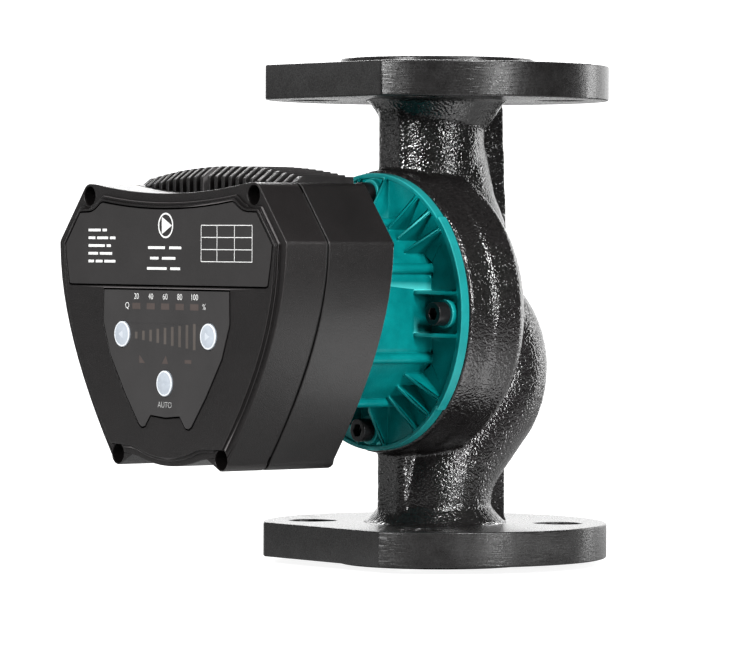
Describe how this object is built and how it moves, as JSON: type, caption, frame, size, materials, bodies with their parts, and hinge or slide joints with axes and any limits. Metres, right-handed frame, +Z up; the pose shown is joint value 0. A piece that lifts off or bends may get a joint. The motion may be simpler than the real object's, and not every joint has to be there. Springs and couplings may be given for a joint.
{
  "type": "circulator pump",
  "caption": "In-line wet-rotor circulator pump with round bolted pipe flanges, a finned motor flange and a shield-shaped front controller with push buttons.",
  "frame": {"origin": "centre of the inlet flange's raised sealing face", "axes": "+Z up the pipe axis towards the outlet flange, -Y towards the controller's front, the motor axis along Y at half the fitting length, +X to the right seen from the controller"},
  "size_m": [0.1818, 0.2219, 0.22],
  "materials": {
    "casing_black": "glossy black paint over a rough sand casting",
    "bronze": "machined",
    "impeller_polymer": "moulded engineering polymer",
    "ceramic_white": "ground ceramic",
    "lamination_steel": "stacked laminations",
    "stainless": "drawn stainless steel",
    "carbon_black": "carbon",
    "rubber_black": "matt rubber",
    "copper": "enamelled copper wire",
    "teal_paint": "satin teal paint over cast aluminium",
    "black_steel": "black oxide",
    "charcoal_aluminium": "fine-textured charcoal paint over cast aluminium",
    "zinc_steel": "zinc plated",
    "charcoal_plastic": "fine-textured moulding",
    "label_grey": "printed label film",
    "panel_film": "satin overlay film",
    "white_plastic": "moulded",
    "button_pearl": "domed satin cap",
    "circuit_board": "solder-resist green",
    "black_plastic": "moulded",
    "led_lens": "clear lens",
    "capacitor_sleeve": "shrink sleeve",
    "green_plastic": "moulded"
  },
  "bodies": {
    "fixed_parts": {"pump_housing": "casing_black", "wear_ring": "bronze", "rotor_can": "stainless", "bearing_plate": "stainless", "inner_bearing": "carbon_black", "outer_bearing": "carbon_black", "housing_gasket": "rubber_black", "stator_core": "lamination_steel", "stator_windings": "copper", "motor_housing": "teal_paint", "motor_screws": "black_steel", "controller_housing": "charcoal_aluminium", "controller_screws": "zinc_steel", "cover_gasket": "rubber_black", "front_cover": "charcoal_plastic", "cover_screws": "zinc_steel", "label_plate": "label_grey", "display_panel": "panel_film", "light_mask": "white_plastic", "display_board": "circuit_board", "tact_switches": "black_plastic", "display_leds": "led_lens", "power_board": "circuit_board", "capacitors": "capacitor_sleeve", "filter_choke": "copper", "power_module": "black_plastic", "terminal_block": "green_plastic", "board_connector": "black_plastic", "motor_plug": "white_plastic", "gland_body": "black_plastic", "gland_seal": "rubber_black", "gland_nut": "black_plastic", "gland_locknut": "black_plastic"},
    "rotor": {"impeller": "impeller_polymer", "impeller_nut": "bronze", "shaft": "ceramic_white", "rotor_core": "lamination_steel", "rotor_sleeve": "stainless", "thrust_washer": "carbon_black"},
    "left_button": {"button_left": "button_pearl"},
    "right_button": {"button_right": "button_pearl"},
    "auto_button": {"button_auto": "button_pearl"}
  },
  "joints": [
    {"name": "rotor_spin", "type": "hinge", "parent": "fixed_parts", "child": "rotor", "pos_m": [0, -0.05, 0.11], "axis": [0, 1, 0], "continuous": true},
    {"name": "left_button_press", "type": "slide", "parent": "fixed_parts", "child": "left_button", "axis": [0, 1, 0], "range_m": [0, 0.0008], "stiffness_N_per_m": 1500, "springref_m": -0.0004},
    {"name": "right_button_press", "type": "slide", "parent": "fixed_parts", "child": "right_button", "axis": [0, 1, 0], "range_m": [0, 0.0008], "stiffness_N_per_m": 1500, "springref_m": -0.0004},
    {"name": "auto_button_press", "type": "slide", "parent": "fixed_parts", "child": "auto_button", "axis": [0, 1, 0], "range_m": [0, 0.0008], "stiffness_N_per_m": 1500, "springref_m": -0.0004}
  ]
}
